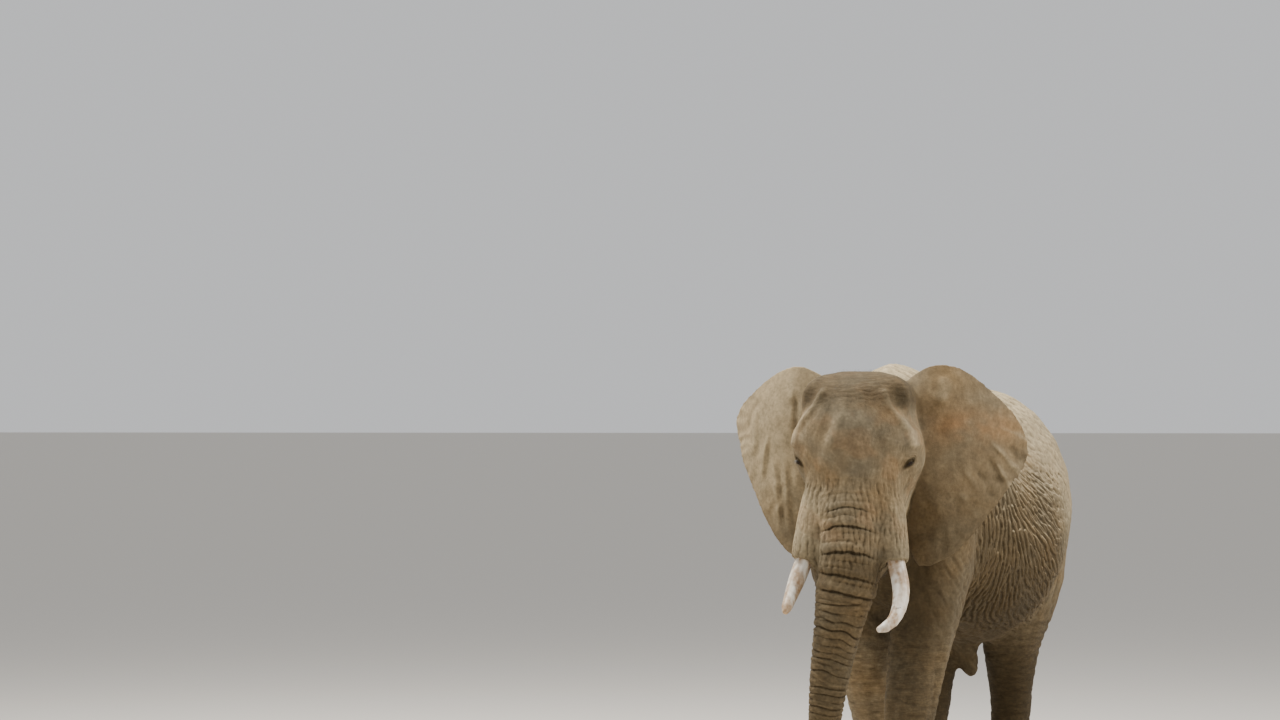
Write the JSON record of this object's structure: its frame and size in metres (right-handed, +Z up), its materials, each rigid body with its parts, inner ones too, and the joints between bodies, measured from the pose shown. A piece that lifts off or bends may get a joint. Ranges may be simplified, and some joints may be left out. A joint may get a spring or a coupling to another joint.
{
  "type": "elephant model",
  "caption": "Life-size still model of a walking African bush elephant bull, head turned slightly, ears spread, trunk hanging, with short tusks.",
  "frame": {"origin": "on the floor, below the middle of the whole animal", "axes": "-Y ahead, +X to the animal's left, +Z up"},
  "size_m": [2.0446, 4.4012, 3.1367],
  "materials": {
    "hide": "dusty grey-brown wrinkled hide, dull",
    "ivory": "smooth ivory with brown stains and fine cracks",
    "toenail": "dull horn, worn and dusty",
    "eye": "wet, dark brown",
    "hair": "coarse dark hair"
  },
  "bodies": {
    "root": {"ear_left": "hide", "ear_right": "hide", "eye_left": "eye", "eye_right": "eye", "foreleg_left": "hide", "foreleg_left_nail_1": "toenail", "foreleg_left_nail_2": "toenail", "foreleg_left_nail_3": "toenail", "foreleg_left_nail_4": "toenail", "foreleg_right": "hide", "foreleg_right_nail_1": "toenail", "foreleg_right_nail_2": "toenail", "foreleg_right_nail_3": "toenail", "foreleg_right_nail_4": "toenail", "head": "hide", "hind_leg_left": "hide", "hind_leg_left_nail_1": "toenail", "hind_leg_left_nail_2": "toenail", "hind_leg_left_nail_3": "toenail", "hind_leg_right": "hide", "hind_leg_right_nail_1": "toenail", "hind_leg_right_nail_2": "toenail", "hind_leg_right_nail_3": "toenail", "jaw": "hide", "neck": "hide", "tail": "hide", "tail_tuft": "hair", "torso": "hide", "trunk_middle": "hide", "trunk_tip": "hide", "trunk_upper": "hide", "tusk_left": "ivory", "tusk_right": "ivory"}
  },
  "joints": []
}
